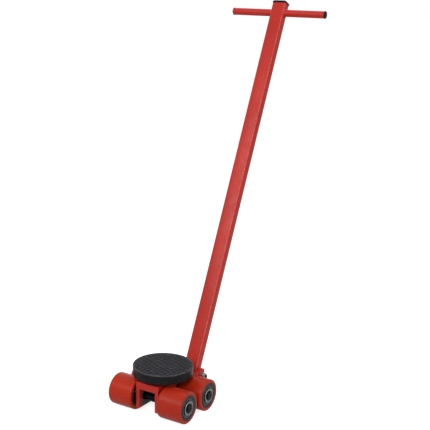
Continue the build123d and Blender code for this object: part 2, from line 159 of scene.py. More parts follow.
# hinge
BOLT_RADIUS = 5.0 * MM
BOLT_HEAD = 6.4 * MM
BOLT_HEAD_FOOT = 0.4 * MM
BOLT_CHAMFER = 1.0 * MM
BOLT_WASHER = 2.0 * MM
FRICTION_WASHER = 1.5 * MM
HEX_FLATS = 17.0 * MM
HEX_CROWN = 0.96 * HEX_FLATS / 2
HEX_CHAMFER_TURN = math.radians(30)
NUT_HEIGHT = 7.0 * MM
NUT_COLLAR_RADIUS = 7.5 * MM
NUT_COLLAR_WALL = 1.2 * MM
NUT_COLLAR_TAPER = 1.2 * MM
NUT_COLLAR_LIP = 0.4 * MM
NUT_COLLAR_LIP_INSET = 0.35 * MM
INSERT_ROUND = 0.6 * MM
SLEEVE_ROUND = 0.5 * MM
THREAD_PITCH = 1.5 * MM
THREAD_DEPTH = 0.6 * MM

# drawbar
DRAWBAR_LEAN = math.radians(24)
TUBE_WIDTH = 40.0 * MM
TUBE_DEPTH = 25.0 * MM
TUBE_WALL = 1.2 * MM
TUBE_CORNER = 3.0 * MM
TUBE_INNER_CORNER = 0.5 * MM
TUBE_BELOW_HINGE = 20.0 * MM
TUBE_ABOVE_HINGE = 1057.0 * MM
TUBE_SPACING = 60.0 * MM
CAP_OVERHANG = 1.19 * MM
CAP_FOOT_INSET = 1.5 * MM
CAP_FLANGE = 3.0 * MM
CAP_DOME = 5.0 * MM
CROWN_WIDTH_RATIO = 0.6
CROWN_DEPTH_RATIO = 0.45
DOME_STEPS = 4
CROSSBAR_WALL = 1.2 * MM
PLUG_GAP = 0.15 * MM
PLUG_ROUND = 1.3 * MM
PLUG_FACE_ROUND = 0.8 * MM
PLUG_FACE_RATIO = 0.45

# weld beads
BEAD_RADIUS = 2.2 * MM
CROSSBAR_BEAD_RADIUS = 1.5 * MM
SLEEVE_BEAD_RADIUS = 1.2 * MM
BEAD_SINK = 0.3
BEAD_RIPPLE = 3.2 * MM
BEAD_RIPPLE_SHARE = 0.13
BEAD_SIDES = 12
BEAD_STEEP = 0.9
BEAD_WEAR = 0.3
BEAD_END_SIZE = 0.35
BEAD_END_GROWTH = 0.25
RING_BEAD_STEPS = 72
PLATE_BEAD_STEPS = 40
PLATE_BEAD_INSET = 6 * MM

# surroundings
WORLD_LIGHT = (0.42, 0.42, 0.43)
FLOOR_SIZE = 60
FLOOR_GAP = 0.2 * MM
FLOOR_COLOUR = (0.62, 0.62, 0.62)
FLOOR_DRIFT = (0.60, 0.60, 0.60)
FLOOR_GLOW = 0.82
FLOOR_MIRRORED_GLOW = 0.25


# ---------------------------------------------------------------- places read from the frame
def low(node):
    """Lowest corner of a CAD node's box."""
    return Vector(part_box(node)[0])


def high(node):
    """Highest corner of a CAD node's box."""
    return Vector(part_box(node)[1])


def middle(node):
    """Centre of a CAD node's box."""
    return (low(node) + high(node)) / 2


def radius_along_x(node):
    """Outer radius of a CAD node that is turned about an axis along X."""
    return (high(node).z - low(node).z) / 2


def radius_along_z(node):
    """Outer radius of a CAD node that is turned about the vertical."""
    return (high(node).x - low(node).x) / 2


# ---------------------------------------------------------------- materials
class Shader:
    """A Principled material under construction, with the nodes that feed it."""

    def __init__(self, name, colour, roughness, metallic=0.0, specular=0.5):
        self.material = bpy.data.materials.new(name)
        self.material.use_nodes = True
        self.tree = self.material.node_tree
        self.surface = self.tree.nodes["Principled BSDF"]
        self.surface.inputs["Base Color"].default_value = (*colour, 1)
        self.surface.inputs["Roughness"].default_value = roughness
        self.surface.inputs["Metallic"].default_value = metallic
        self.surface.inputs["Specular IOR Level"].default_value = specular
        self.coordinates = self.node("ShaderNodeTexCoord").outputs["Object"]
        self.colour = None
        self.normal = None

    def node(self, kind, **settings):
        """A new node with its properties set."""
        made = self.tree.nodes.new(kind)
        for key, value in settings.items():
            setattr(made, key, value)
        return made

    def link(self, source, target):
        """Joins an output to an input."""
        self.tree.links.new(source, target)

    def axes(self):
        """The object coordinates as three separate outputs, X, Y and Z."""
        split = self.node("ShaderNodeSeparateXYZ")
        self.link(self.coordinates, split.inputs["Vector"])
        return split.outputs

    def stretched(self, scale):
        """Object coordinates scaled by a different amount along each axis."""
        mapping = self.node("ShaderNodeMapping")
        mapping.inputs["Scale"].default_value = scale
        self.link(self.coordinates, mapping.inputs["Vector"])
        return mapping.outputs["Vector"]

    def noise(self, scale, detail=2.0, roughness=0.5, vector=None):
        """Noise from 0 to 1, scale in features per metre."""
        made = self.node("ShaderNodeTexNoise")
        made.inputs["Scale"].default_value = scale
        made.inputs["Detail"].default_value = detail
        made.inputs["Roughness"].default_value = roughness
        self.link(vector or self.coordinates, made.inputs["Vector"])
        return made.outputs["Fac"]

    def span(self, value, low_in, high_in, low_out, high_out):
        """Maps a value from one range to another, clamped."""
        made = self.node("ShaderNodeMapRange")
        for index, number in enumerate((low_in, high_in, low_out, high_out)):
            made.inputs[index + 1].default_value = number
        self.link(value, made.inputs["Value"])
        return made.outputs["Result"]

    def math(self, operation, first, second=0.0):
        """A math node on sockets or numbers."""
        made = self.node("ShaderNodeMath", operation=operation)
        for index, value in enumerate((first, second)):
            if isinstance(value, float):
                made.inputs[index].default_value = value
            else:
                self.link(value, made.inputs[index])
        return made.outputs["Value"]

    def tint(self, factor, colour):
        """Blends a colour over what the base colour is so far."""
        mix = self.node("ShaderNodeMix", data_type="RGBA")
        if self.colour is None:
            mix.inputs[MIX_UNDER].default_value = self.surface.inputs["Base Color"].default_value
        else:
            self.link(self.colour, mix.inputs[MIX_UNDER])
        mix.inputs[MIX_OVER].default_value = (*colour, 1)
        self.link(factor, mix.inputs["Factor"])
        self.colour = mix.outputs[MIX_RESULT]
        self.link(self.colour, self.surface.inputs["Base Color"])

    def rough(self, value):
        """Drives the roughness."""
        self.link(value, self.surface.inputs["Roughness"])

    def bump(self, height, relief, strength=1.0):
        """Adds a layer of relief, its height in metres."""
        made = self.node("ShaderNodeBump")
        made.inputs["Strength"].default_value = strength
        made.inputs["Distance"].default_value = relief
        self.link(height, made.inputs["Height"])
        if self.normal is not None:
            self.link(self.normal, made.inputs["Normal"])
        self.normal = made.outputs["Normal"]
        self.link(self.normal, self.surface.inputs["Normal"])

    def edge_wear_and_highlight(self, scale, least, most):
        """Patchy lighter marks along the edges that are marked on the mesh, between two amounts: wear,
        and on the drawbar tube's corners and the disc's lip a painted highlight.
        """
        edge = self.node("ShaderNodeAttribute", attribute_name="edge").outputs["Fac"]
        patches = self.span(self.noise(scale, 3.0), 0.4, 0.6, least, most)
        return self.math("MULTIPLY", edge, patches)

    def turned(self, scale):
        """Noise that runs in circles round the object's X axis, as tool marks on a turned face do."""
        axes = self.axes()
        square_y = self.math("MULTIPLY", axes["Y"], axes["Y"])
        square_z = self.math("MULTIPLY", axes["Z"], axes["Z"])
        radius = self.math("SQRT", self.math("ADD", square_y, square_z))
        vector = self.node("ShaderNodeCombineXYZ")
        self.link(radius, vector.inputs["X"])
        self.link(axes["X"], vector.inputs["Y"])
        return self.noise(scale, 3.0, 0.6, vector.outputs["Vector"])


def lighter(colour, amount):
    """A colour moved towards white by an amount from 0 to 1."""
    return [c + amount * (1 - c) for c in colour]


def scaled(colour, factor):
    """A colour made darker or lighter by a factor."""
    return [c * factor for c in colour]


def powder_coat(name, colour, roughness):
    """Powder coat: orange peel, a slow drift of colour, and marked edges a little lighter, as rubbed
    paint and, along the drawbar tube's corners, a painted highlight.
    """
    made = Shader(name, colour, roughness, specular=RED_SPECULAR)
    drift = made.span(made.noise(7.0, 3.0), 0.35, 0.7, 0, 1)
    specks = made.span(made.noise(55.0, 5.0, 0.7), 0.60, 0.85, 0, 0.25)
    gloss = made.span(made.noise(45.0, 3.0), 0.3, 0.7, roughness - 0.05, roughness + 0.08)
    orange_peel = made.noise(650.0, 1.5)
    made.tint(drift, scaled(colour, 0.86))
    made.tint(specks, scaled(colour, 0.75))
    # marked edges lighter: rubbed paint, and a painted highlight where the drawbar tube's corners are
    # marked
    made.tint(made.edge_wear_and_highlight(130.0, 0.3, 0.7), lighter(scaled(colour, 1.4), 0.1))
    made.rough(gloss)
    made.bump(orange_peel, 0.02 * MM, 0.4)
    return made


def frame_paint():
    """The frame's powder coat, with painted shade: a dark grey laid on the faces inside the frame, away
    from its open ends, where those faces are in shade.
    """
    made = powder_coat("red_paint_frame", RED, RED_ROUGHNESS)
    axes = made.axes()
    inner, under, end = low("side_plate_right").x, low("top_plate").z, high("top_plate").y
    across = made.span(made.math("ABSOLUTE", axes["X"]), inner, inner + INSIDE_SHADE_EDGE, 1, 0)
    below = made.span(axes["Z"], under, under + INSIDE_SHADE_EDGE, 1, 0)
    ragged = made.span(made.noise(90.0, 3.0), 0.3, 0.7, -INSIDE_SHADE_RAGGED, INSIDE_SHADE_RAGGED)
    along = made.math("ADD", made.math("ABSOLUTE", axes["Y"]), ragged)
    away_from_ends = made.span(along, end - INSIDE_SHADE_END, end - INSIDE_SHADE_RAGGED, 1, 0)
    inside = made.math("MULTIPLY", across, below)
    # painted shade: darken the faces inside the frame, away from its ends
    made.tint(made.math("MULTIPLY", inside, away_from_ends), INSIDE_PAINTED_SHADE)
    return made.material


def black_enamel():
    """Thin black paint over a turned surface, whose fine tool marks still show, lighter in patches along
    the lip as rubbed paint and as a painted highlight.
    """
    colour = (0.0098, 0.0098, 0.0108)
    made = Shader("black_paint", colour, 0.3, specular=0.08)
    clouds = made.span(made.noise(60.0, 4.0, 0.6), 0.5, 0.8, 0, 0.6)
    gloss = made.span(made.noise(70.0, 3.0), 0.3, 0.7, 0.26, 0.36)
    # the disc's mesh is turned about its own X, so its height is that coordinate
    height = made.axes()["X"]
    lip = high("turntable_plate").z
    near_lip = made.span(height, lip - LIP_WEAR_AND_HIGHLIGHT_WIDTH, lip - LIP_WEAR_AND_HIGHLIGHT_WIDTH / 2, 0.1, 1)
    made.tint(clouds, scaled(colour, 2.2))
    # lighter patches along the lip: rubbed paint, and a painted highlight on the rim's rounded edge
    made.tint(made.math("MULTIPLY", near_lip, made.edge_wear_and_highlight(150.0, 0.3, 0.8)), (0.08, 0.08, 0.085))
    made.rough(gloss)
    made.bump(made.turned(700.0), 0.01 * MM, 0.4)
    return made.material


def polyurethane():
    """Cast, turned red polyurethane: lathe lines round the roller, faint scuffs and floor dust."""
    colour = (0.43, 0.022, 0.006)
    dust = (0.42, 0.10, 0.08)
    made = Shader("roller_polyurethane", colour, 0.3, specular=0.17)
    drift = made.span(made.noise(14.0, 3.0), 0.4, 0.75, 0, 1)
    scuffs = made.noise(60.0, 5.0, 0.65, made.stretched((0.35, 1.6, 1.6)))
    lathe_lines = made.noise(420.0, 2.0, 0.5, made.stretched((2.2, 0.02, 0.02)))
    made.tint(drift, scaled(colour, 0.8))
    made.tint(made.span(scuffs, 0.62, 0.80, 0, 0.25), dust)
    made.rough(made.span(scuffs, 0.35, 0.7, 0.24, 0.4))
    made.bump(lathe_lines, 0.02 * MM, 0.5)
    made.bump(made.noise(240.0, 2.0), 0.02 * MM, 0.4)
    return made.material


def turned_metal(name, colour, roughness):
    """Turned metal: concentric tool marks, a thin film of oil and dirt."""
    made = Shader(name, colour, roughness, metallic=1.0)
    film = made.span(made.noise(70.0, 4.0, 0.6), 0.42, 0.75, 0, 0.6)
    marks = made.turned(900.0)
    made.tint(film, scaled(colour, 0.6))
    made.tint(made.edge_wear_and_highlight(200.0, 0.2, 0.6), lighter(colour, 0.2))
    made.rough(made.span(marks, 0.3, 0.7, roughness - 0.06, roughness + 0.08))
    made.bump(marks, 0.02 * MM, 0.6)
    return made.material


def plated_metal(name, colour, roughness, rubbed):
    """Zinc plate or black oxide: cloudy, finely grained, rubbed brighter along worn edges."""
    made = Shader(name, colour, roughness, metallic=1.0)
    clouds = made.span(made.noise(180.0, 4.0, 0.6), 0.4, 0.7, 0, 0.55)
    gloss = made.span(made.noise(260.0, 3.0), 0.3, 0.7, roughness - 0.07, roughness + 0.1)
    made.tint(clouds, scaled(colour, 0.65))
    made.tint(made.edge_wear_and_highlight(260.0, 0.1, 0.5), lighter(colour, rubbed))
    made.rough(gloss)
    made.bump(made.noise(1400.0), 0.01 * MM, 0.5)
    return made.material


def moulded(name, colour, roughness, specular, dust, grain):
    """Moulded rubber or plastic: a fine grain, with dust in places."""
    made = Shader(name, colour, roughness, specular=specular)
    patches = made.span(made.noise(40.0, 4.0, 0.6), 0.45, 0.75, 0, dust)
    gloss = made.span(made.noise(90.0, 3.0), 0.3, 0.7, roughness - 0.07, roughness + 0.1)
    made.tint(patches, lighter(scaled(colour, 1.3), 0.03))
    made.tint(made.edge_wear_and_highlight(180.0, 0.1, 0.5), lighter(colour, 0.03))
    made.rough(gloss)
    made.bump(made.noise(1200.0, 3.0, 0.6), grain, 0.6)
    return made.material


MATERIALS = {
    "red_paint": powder_coat("red_paint", RED, RED_ROUGHNESS).material,
    "black_paint": black_enamel(),
    "roller_polyurethane": polyurethane(),
    "hub_steel": turned_metal("hub_steel", (0.014, 0.0145, 0.015), 0.36),
    "bearing_steel": turned_metal("bearing_steel", (0.022, 0.022, 0.023), 0.3),
    "black_steel": plated_metal("black_steel", (0.005, 0.005, 0.0055), 0.28, rubbed=0.04),
    "zinc_plate": plated_metal("zinc_plate", (0.23, 0.225, 0.222), 0.27, rubbed=0.2),
    "pad_rubber": moulded(
        "pad_rubber", (0.0168, 0.0158, 0.0202), 0.62, specular=0.15, dust=0.5, grain=0.05 * MM
    ),
    "black_plastic": moulded(
        "black_plastic", (0.004, 0.004, 0.005), 0.38, specular=0.06, dust=0.12, grain=0.03 * MM
    ),
    "bronze": turned_metal("bronze", (0.40, 0.25, 0.10), 0.35),
}
FRAME_RED = frame_paint()


# ---------------------------------------------------------------- mesh helpers
def add_piece(name, build, slot, body, place=None, replaced=(), sharp=SHARP_ANGLE):
    """Turns a bmesh into a smoothly shaded piece that rides on a body and stands for CAD nodes."""
    bmesh.ops.remove_doubles(build, verts=build.verts, dist=1e-7)
    bmesh.ops.recalc_face_normals(build, faces=build.faces)
    mesh = bpy.data.meshes.new(name)
    build.to_mesh(mesh)
    build.free()
    mesh.polygons.foreach_set("use_smooth", [True] * len(mesh.polygons))
    mesh.set_sharp_from_angle(angle=math.radians(sharp))
    mesh.materials.append(MATERIALS[slot])
    piece = bpy.data.objects.new(name, mesh)
    bpy.context.scene.collection.objects.link(piece)
    piece.matrix_world = place or Matrix.Identity(4)
    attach(piece, body)
    if replaced:
        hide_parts(*replaced)
    return piece


def add_replacement(node, build, place=None, sharp=SHARP_ANGLE):
    """Adds a piece that stands for one CAD node, with that node's slot and body."""
    return add_piece(f"{node}_piece", build, SLOT_OF[node], BODY_OF[node], place, (node,), sharp)


def edge_layer(build):
    """The bmesh's layer that marks edges to be drawn lighter, as wear and in places as a painted
    highlight, from 0 to 1, made where it isn't there yet.
    """
    layers = build.verts.layers.float
    return layers.get("edge") or layers.new("edge")


def circle(steps):
    """Cosine and sine of equal turns round a circle."""
    angles = [FULL_TURN * step / steps for step in range(steps)]
    return [(math.cos(angle), math.sin(angle)) for angle in angles]


def beside_edge(corner, along, reach, fade):
    """The unmarked point where the lighter edge marking beside a rounded edge ends, if there is room for
    one.
    """
    distance = reach + min(reach, fade)
    if not fade or distance > FADE_SHARE * along.length:
        return []
    point = corner + along.normalized() * distance
    return [(point.x, point.y, 0.0)]


def rounded(outline, steps=4, fade=EDGE_FADE):
    """Rounds a closed outline. Points are (u, v, rounding); returns (u, v, mark), mark 1 on an edge."""
    out = []
    for index, (u, v, rounding) in enumerate(outline):
        if rounding <= 0:
            out.append((u, v, 0.0))
            continue
        corner = Vector((u, v))
        before = Vector(outline[index - 1][:2]) - corner
        after = Vector(outline[(index + 1) % len(outline)][:2]) - corner
        reach = min(rounding, ROUND_SHARE * min(before.length, after.length))
        start = corner + before.normalized() * reach
        end = corner + after.normalized() * reach
        out += beside_edge(corner, before, reach, fade)
        for step in range(steps + 1):
            t = step / steps
            point = start * (1 - t) ** 2 + corner * 2 * t * (1 - t) + end * t**2
            out.append((point.x, point.y, 1.0))
        out += beside_edge(corner, after, reach, fade)
    return out


def section(*points, soft=EDGE_ROUND):
    """A closed section from (along, radius) or (along, radius, rounding) points."""
    outline = []
    for point in points:
        off_axis = soft if point[1] > 0 else 0.0
        outline.append(point if len(point) == 3 else (*point, off_axis))
    return rounded(outline)


def ring_section(first, last, inner, outer, soft=RING_ROUND):
    """Section of a plain ring between two stations."""
    return section((first, inner), (first, outer), (last, outer), (last, inner), soft=soft)


def ring_pair(first, last, inner, outer, soft=RING_ROUND):
    """The same ring on the right and on the left of the centre plane."""
    return [ring_section(side * first, side * last, inner, outer, soft) for side in SIDES.values()]


def mirrored(points, about=0.0):
    """The same points on the other side of a plane across the axis, in reverse order."""
    return [(2 * about - point[0], *point[1:]) for point in reversed(points)]


def at_angle(value, angle):
    """A profile value, which may be a function of the angle."""
    return value(angle) if callable(value) else value


def revolve(build, profile, steps):
    """Turns a closed profile of (along, radius, mark) about X into a bmesh."""
    layer = edge_layer(build)
    rings = []
    for turn in range(steps):
        angle = FULL_TURN * turn / steps
        ring = []
        for along, radius, mark in profile:
            reach = at_angle(radius, angle)
            point = (at_angle(along, angle), reach * math.cos(angle), reach * math.sin(angle))
            vertex = build.verts.new(point)
            vertex[layer] = mark
            ring.append(vertex)
        rings.append(ring)
    skin(build, rings, closed=True)


def skin(build, rings, closed):
    """Joins each ring of vertices to the next, and the last to the first where closed."""
    count = len(rings[0])
    for index in range(len(rings) if closed else len(rings) - 1):
        here, there = rings[index], rings[(index + 1) % len(rings)]
        for step in range(count):
            after = (step + 1) % count
            build.faces.new((here[step], here[after], there[after], there[step]))


def lathe(node, *profiles, axis="X", steps=96, sharp=SHARP_ANGLE):
    """A turned piece that stands for a CAD node. Profiles run along the world axis that is named."""
    build = bmesh.new()
    for profile in profiles:
        revolve(build, profile, steps)
    centre = middle(node)
    if axis == "X":
        place = Matrix.Translation((0, centre.y, centre.z))
    else:
        place = Matrix.Rotation(-math.pi / 2, 4, "Y")
    add_replacement(node, build, place, sharp)


def loft(build, loops, closed=False):
    """Skins a list of loops of equal length. Each loop is (mark, points). Open ends are filled."""
    layer = edge_layer(build)
    rings = []
    for mark, points in loops:
        ring = [build.verts.new(point) for point in points]
        for vertex in ring:
            vertex[layer] = mark
        rings.append(ring)
    skin(build, rings, closed)
    if not closed:
        build.faces.new(rings[0])
        build.faces.new(rings[-1])


def rounded_rectangle(width, depth, corner, height, steps=5):
    """Points of a rectangle with round corners, at a height."""
    points = []
    for quarter, (sign_x, sign_y) in enumerate(((1, 1), (-1, 1), (-1, -1), (1, -1))):
        for step in range(steps + 1):
            angle = math.pi / 2 * (quarter + step / steps)
            x = sign_x * (width / 2 - corner) + corner * math.cos(angle)
            y = sign_y * (depth / 2 - corner) + corner * math.sin(angle)
            points.append((x, y, height))
    return points


def hexagon(flats):
    """Radius of a hexagon at an angle."""
    return lambda angle: flats / 2 / math.cos((angle + math.pi / 6) % (math.pi / 3) - math.pi / 6)


def chamfered(station, side, flats, crown):
    """Where a hexagon's flat ends, for a cone that starts at radius crown on the face at station."""
    radius = hexagon(flats)
    return lambda angle: station - side * max(0.0, radius(angle) - crown) * math.tan(HEX_CHAMFER_TURN)


def bead(build, path, closed, radius=BEAD_RADIUS):
    """A rippled weld bead along a path of points."""
    loops = []
    count = len(path)
    travelled = 0.0
    for index, point in enumerate(path):
        before = path[index - 1] if closed or index else path[0]
        after = path[(index + 1) % count] if closed or index < count - 1 else path[-1]
        ahead = (after - before).normalized()
        travelled += (point - before).length if index else 0.0
        ripple = 1 + BEAD_RIPPLE_SHARE * abs(math.sin(math.pi * travelled / BEAD_RIPPLE))
        from_end = min(index, count - 1 - index)
        taper = 1.0 if closed else min(1.0, BEAD_END_SIZE + BEAD_END_GROWTH * from_end)
        level = Vector((1, 0, 0)) if abs(ahead.z) >= BEAD_STEEP else Vector((0, 0, 1))
        across = ahead.cross(level).normalized()
        upward = across.cross(ahead)
        size = radius * ripple * taper
        ring = [point + size * (cosine * across + sine * upward) for cosine, sine in circle(BEAD_SIDES)]
        loops.append((BEAD_WEAR, ring))
    loft(build, loops, closed)


# ---------------------------------------------------------------- CAD nodes that stay
def soften_cad(node, width, edge_material):
    """Rounds a CAD node's hard edges with a modifier and gives the rounds the rubbed material."""
    piece = frame["nodes"][node]
    piece.data.materials.append(edge_material)
    bevel = piece.modifiers.new("soft_edges", "BEVEL")
    bevel.width = width
    bevel.segments = 3
    bevel.limit_method = "ANGLE"
    bevel.angle_limit = math.radians(SHARP_ANGLE)
    bevel.harden_normals = True
    bevel.material = 1


def dress_cad():
    """Gives every CAD node its slot's material, and soft edges to the ones that stay in view."""
    for name, node in frame["nodes"].items():
        node.data.materials.clear()
        node.data.materials.append(MATERIALS[SLOT_OF[name]])
    rubbed_red = powder_coat("red_paint_edge", lighter(RED, 0.06), RUBBED_RED_ROUGHNESS).material
    rubbed_black = plated_metal("black_steel_edge", (0.04, 0.04, 0.042), 0.35, rubbed=0.05)
    for name in ("top_plate", "side_plate_left", "side_plate_right"):
        frame["nodes"][name].data.materials[0] = FRAME_RED
        soften_cad(name, PLATE_BEVEL, rubbed_red)
    for name in ("axle_circlips_front", "axle_circlips_rear", "kingpin_circlip"):
        soften_cad(name, CLIP_BEVEL, rubbed_black)


# ---------------------------------------------------------------- rollers and axles
def make_tread(node, hub_radius):
    """A roller's tread, with broadly rounded ends."""
    start, end = low(node).x, high(node).x
    outer = radius_along_x(node)
    tread = section(
        (start, hub_radius),
        (start, outer, TREAD_ROUND),
        (end, outer, TREAD_ROUND),
        (end, hub_radius),
    )
    lathe(node, tread, steps=ROLLER_STEPS)


def make_hub(node, start, end, bearing_start, bearing_radius):
    """A roller's hub: a bore with a bearing seat at each end, and a groove in each face."""
    hub_radius = radius_along_x(node)
    seat = BEARING_WIDTH + bearing_start - start
    half_groove = HUB_GROOVE_WIDTH / 2
    near_end = [
        (start, hub_radius),
        (start, HUB_GROOVE_RADIUS + half_groove),
        (start + HUB_GROOVE_DEPTH, HUB_GROOVE_RADIUS + half_groove),
        (start + HUB_GROOVE_DEPTH, HUB_GROOVE_RADIUS - half_groove),
        (start, HUB_GROOVE_RADIUS - half_groove),
        (start, bearing_radius + HUB_LEAD),
        (start + HUB_LEAD / 2, bearing_radius),
        (start + seat, bearing_radius),
        (start + seat, HUB_BORE),
    ]
    hub = section(*near_end, *mirrored(near_end, (start + end) / 2))
    lathe(node, hub, steps=ROLLER_STEPS)


def make_bearings(node):
    """A roller's two bearings: outer rings with a sunk shield on each side."""
    outer = radius_along_x(node)
    ring_inner = outer - OUTER_RING_WALL
    profiles = []
    for face in (low(node).x, high(node).x - BEARING_WIDTH):
        shield = face + SHIELD_RECESS
        half = [
            (face, outer, OUTER_RING_ROUND),
            (face, ring_inner + OUTER_RING_LEAD),
            (shield, ring_inner - OUTER_RING_LEAD),
            (shield, SHIELD_INNER_RADIUS + SHIELD_CURL),
            (face + 2 * SHIELD_RECESS, SHIELD_INNER_RADIUS),
            (shield + SHIELD_THICKNESS, SHIELD_INNER_RADIUS),
            (shield + SHIELD_THICKNESS, ring_inner),
        ]
        profiles.append(section(*half, *mirrored(half, face + BEARING_WIDTH / 2)))
    lathe(node, *profiles)


def make_roller(corner):
    """Tread, hub and bearings of one roller."""
    tread, hub, bearings = f"roller_tread_{corner}", f"roller_hub_{corner}", f"roller_bearings_{corner}"
    make_tread(tread, radius_along_x(hub))
    make_hub(hub, low(tread).x, high(tread).x, low(bearings).x, radius_along_x(bearings))
    make_bearings(bearings)


def make_axle(row):
    """An axle with the spacers, inner rings and end washers that are stacked on it."""
    axle, spacers = f"axle_{row}", f"axle_spacers_{row}"
    rings, washers, clips = f"bearing_inner_rings_{row}", f"axle_washers_{row}", f"axle_circlips_{row}"
    hub = f"roller_hub_{row}_right"
    end = high(axle).x
    groove_start, groove_end = high(washers).x, high(clips).x
    groove_radius = AXLE_RADIUS - AXLE_GROOVE_DEPTH
    half = [
        (end - CENTRE_HOLE_DEPTH, 0),
        (end, CENTRE_HOLE_RADIUS),
        (end, AXLE_RADIUS - AXLE_CHAMFER),
        (end - AXLE_CHAMFER, AXLE_RADIUS),
        (groove_end, AXLE_RADIUS, 0),
        (groove_end, groove_radius, 0),
        (groove_start, groove_radius, 0),
        (groove_start, AXLE_RADIUS, 0),
    ]
    lathe(axle, section(*half, *mirrored(half)))

    bore = AXLE_RADIUS + RUNNING_GAP
    washer_face = high(rings).x
    lathe(
        washers,
        *ring_pair(washer_face, groove_start, bore, radius_along_x(washers), AXLE_WASHER_ROUND),
    )

    near_ring = low(hub).x + high(hub).x - washer_face
    far_ring = washer_face - BEARING_WIDTH
    ring_outer = radius_along_x(rings)
    lathe(
        rings,
        *ring_pair(near_ring, near_ring + BEARING_WIDTH, bore, ring_outer, INNER_RING_ROUND),
        *ring_pair(far_ring, washer_face, bore, ring_outer, INNER_RING_ROUND),
    )

    frame_face = high("side_plate_right").x
    side_outer = radius_along_x(spacers)
    centre_outer = side_outer - CENTRE_SPACER_STEP
    lathe(
        spacers,
        *ring_pair(frame_face, near_ring, bore, side_outer),
        *ring_pair(near_ring + BEARING_WIDTH, far_ring, bore, centre_outer),
    )


# ---------------------------------------------------------------- turntable
def make_plate(node, bore):
    """The turned disc, with a rounded rim and a recess for the pad."""
    bottom, top = low(node).z, high(node).z
    radius = radius_along_z(node)
    recess = top - PAD_RECESS
    counterbore = KINGPIN_HEAD_RADIUS + RUNNING_GAP
    plate = section(
        (bottom, bore),
        (bottom, radius, PLATE_UNDER_ROUND),
        (top, radius, PLATE_ROUND),
        (top, radius - RIM_WIDTH, LIP_ROUND),
        (recess, radius - RIM_WIDTH),
        (recess, counterbore),
        (recess - KINGPIN_HEAD, counterbore),
        (recess - KINGPIN_HEAD, bore),
    )
    lathe(node, plate, axis="Z", steps=PLATE_STEPS)


def make_kingpin(node, head_top):
    """The headed pin, with a groove for its circlip."""
    end = low(node).z
    groove_start, groove_end = low("kingpin_circlip").z, high("kingpin_circlip").z
    groove_radius = KINGPIN_RADIUS - KINGPIN_GROOVE_DEPTH
    pin = section(
        (end, 0),
        (end, KINGPIN_RADIUS - AXLE_CHAMFER),
        (end + AXLE_CHAMFER, KINGPIN_RADIUS),
        (groove_start, KINGPIN_RADIUS, 0),
        (groove_start, groove_radius, 0),
        (groove_end, groove_radius, 0),
        (groove_end, KINGPIN_RADIUS, 0),
        (head_top - KINGPIN_HEAD, KINGPIN_RADIUS, 0),
        (head_top - KINGPIN_HEAD, KINGPIN_HEAD_RADIUS),
        (head_top, KINGPIN_HEAD_RADIUS),
        (head_top, 0),
    )
    lathe(node, pin, axis="Z")


def make_turntable():
    """The disc and its kingpin, races, washer and bush."""
    plate = "turntable_plate"
    bore = KINGPIN_RADIUS + RUNNING_GAP
    make_plate(plate, bore)
    make_kingpin("kingpin", high(plate).z - PAD_RECESS)
    bores = {
        "thrust_race_upper": bore,
        "thrust_race_lower": RACE_BORE,
        "kingpin_washer": bore,
        "pivot_bush": bore,
    }
    for node, inner in bores.items():
        ring = ring_section(low(node).z, high(node).z, inner, radius_along_z(node))
        lathe(node, ring, axis="Z")


# ---------------------------------------------------------------- load pad
def clipped(points, normal, reach):
    """The part of a convex polygon on the near side of a line at a distance from the origin."""
    out = []
    for index, point in enumerate(points):
        after = points[(index + 1) % len(points)]
        here = point.dot(normal) - reach
        there = after.dot(normal) - reach
        if here <= 0:
            out.append(point)
        if here * there < 0:
            out.append(point.lerp(after, here / (here - there)))
    return out


def block_outline(column, row, radius):
    """A square block of the pad, cut to the pad's round edge by a fan of lines one degree apart."""
    pitch = PAD_BLOCK + PAD_GROOVE
    half = PAD_BLOCK / 2
    turn = Matrix.Rotation(PAD_TURN, 2)
    centre = Vector((column * pitch, row * pitch))
    corners = ((-half, -half), (half, -half), (half, half), (-half, half))
    points = [turn @ (centre + Vector(corner)) for corner in corners]
    facing = (turn @ centre).normalized() if centre.length > 0 else Vector((1, 0))
    for degrees in range(-BLOCK_CUTS, BLOCK_CUTS + 1):
        normal = Matrix.Rotation(math.radians(degrees), 2) @ facing
        points = clipped(points, normal, radius)
        if len(points) < 3:
            return []
    return points


def add_block(build, outline, bottom, top):
    """One block of the pad, with round corners and a soft top edge, unless too little of it is left."""
    centre = sum(outline, Vector((0, 0))) / len(outline)
    if min((point - centre).length for point in outline) < SMALLEST_BLOCK:
        return
    corners = rounded([(point.x, point.y, BLOCK_CORNER) for point in outline], steps=2, fade=0)
    # each ring's mark, height, and share of the way in to the block's centre
    rings = (
        (0.0, bottom, 0.0),
        (0.0, top - BLOCK_EDGE, 0.02),
        (1.0, top - 0.4 * BLOCK_EDGE, 0.045),
        (1.0, top - 0.1 * BLOCK_EDGE, 0.10),
        (0.2, top - 0.02 * BLOCK_EDGE, 0.20),
    )
    loops = []
    for mark, height, inset in rings:
        ring = [centre.lerp(Vector((x, y)), 1 - inset) for x, y, _ in corners]
        loops.append((mark, [(point.x, point.y, height) for point in ring]))
    loft(build, loops)


def make_load_pad(pad):
    """Rubber pad: a disc with square blocks in rows, each with rounded corners and a soft top edge."""
    top, bottom = high(pad).z, low(pad).z
    radius = radius_along_z(pad)
    floor = top - PAD_GROOVE_DEPTH
    build = bmesh.new()
    loops = []
    levels = ((bottom, PAD_EDGE), (bottom + PAD_EDGE, 0), (floor, 0), (floor, RING_ROUND))
    for height, inset in levels:
        reach = radius - inset
        ring = [(reach * cosine, reach * sine, height) for cosine, sine in circle(PLATE_STEPS)]
        loops.append((0.0, ring))
    loft(build, loops)

    count = int(radius // (PAD_BLOCK + PAD_GROOVE)) + 1
    for column in range(-count, count + 1):
        for row in range(-count, count + 1):
            outline = block_outline(column, row, radius)
            if outline:
                add_block(build, outline, floor, top)
    add_replacement(pad, build)


